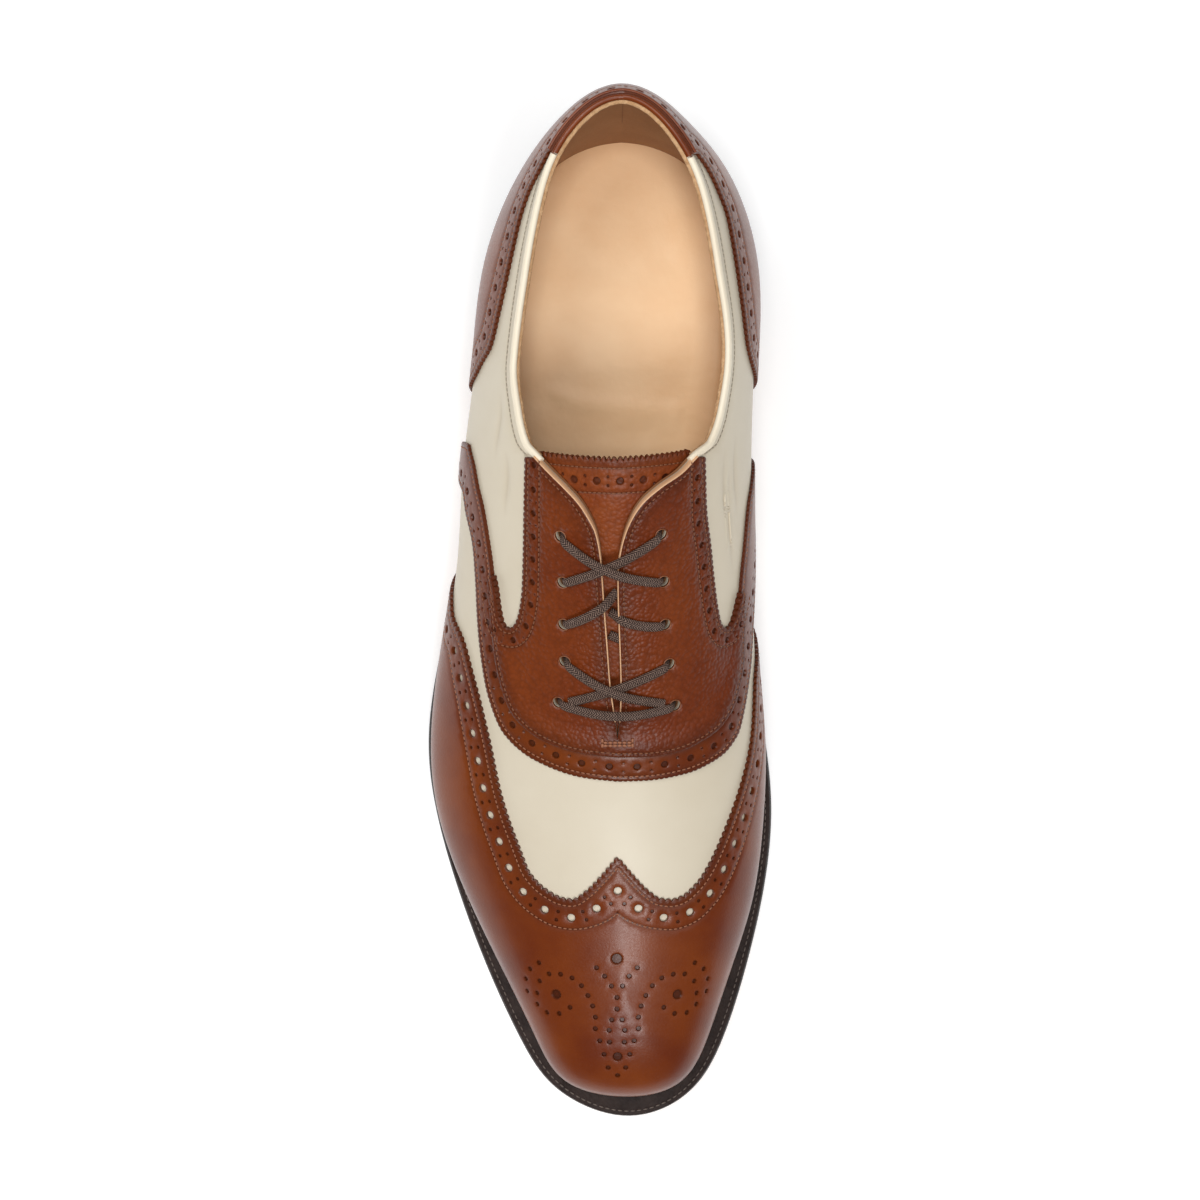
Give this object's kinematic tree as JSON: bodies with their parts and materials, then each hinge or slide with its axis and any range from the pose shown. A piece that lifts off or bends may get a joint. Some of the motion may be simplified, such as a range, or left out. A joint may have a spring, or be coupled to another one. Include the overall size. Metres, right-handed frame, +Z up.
{
  "type": "wingtip oxford shoe",
  "caption": "Two-tone spectator wingtip Oxford for a right foot, in brown and cream leather, with a punched wing cap, laced facings, welted leather sole and stacked heel.",
  "frame": {"origin": "on the floor under the middle of the shoe's outline", "axes": "+Z up from the floor; +Y from the toe to the heel, along the shoe; +X towards the inner (medial) side of this right shoe"},
  "size_m": [0.106, 0.3064, 0.0961],
  "materials": {
    "cream_calf": "smooth calf, satin",
    "brown_calf": "burnished calf, polished",
    "tongue_calf": "fine pebbled calf, satin",
    "insole_leather": "smooth natural leather, matt",
    "sole_leather": "dark edge dressing, satin",
    "welt_leather": "dark stained leather, satin",
    "heel_rubber": "moulded rubber, matt",
    "lace_cotton": "waxed flat cotton, low sheen"
  },
  "bodies": {
    "root": {"outsole": "sole_leather", "welt": "welt_leather", "heel_lift_1": "sole_leather", "heel_lift_2": "sole_leather", "heel_lift_3": "sole_leather", "heel_lift_4": "sole_leather", "heel_top_piece": "heel_rubber", "insole": "insole_leather", "upper": "cream_calf", "wing_cap": "brown_calf", "facing": "brown_calf", "band": "brown_calf", "counter": "brown_calf", "tongue": "tongue_calf", "lace_top_cross": "lace_cotton", "lace_middle_cross": "lace_cotton", "lace_lower_cross": "lace_cotton"}
  },
  "joints": []
}
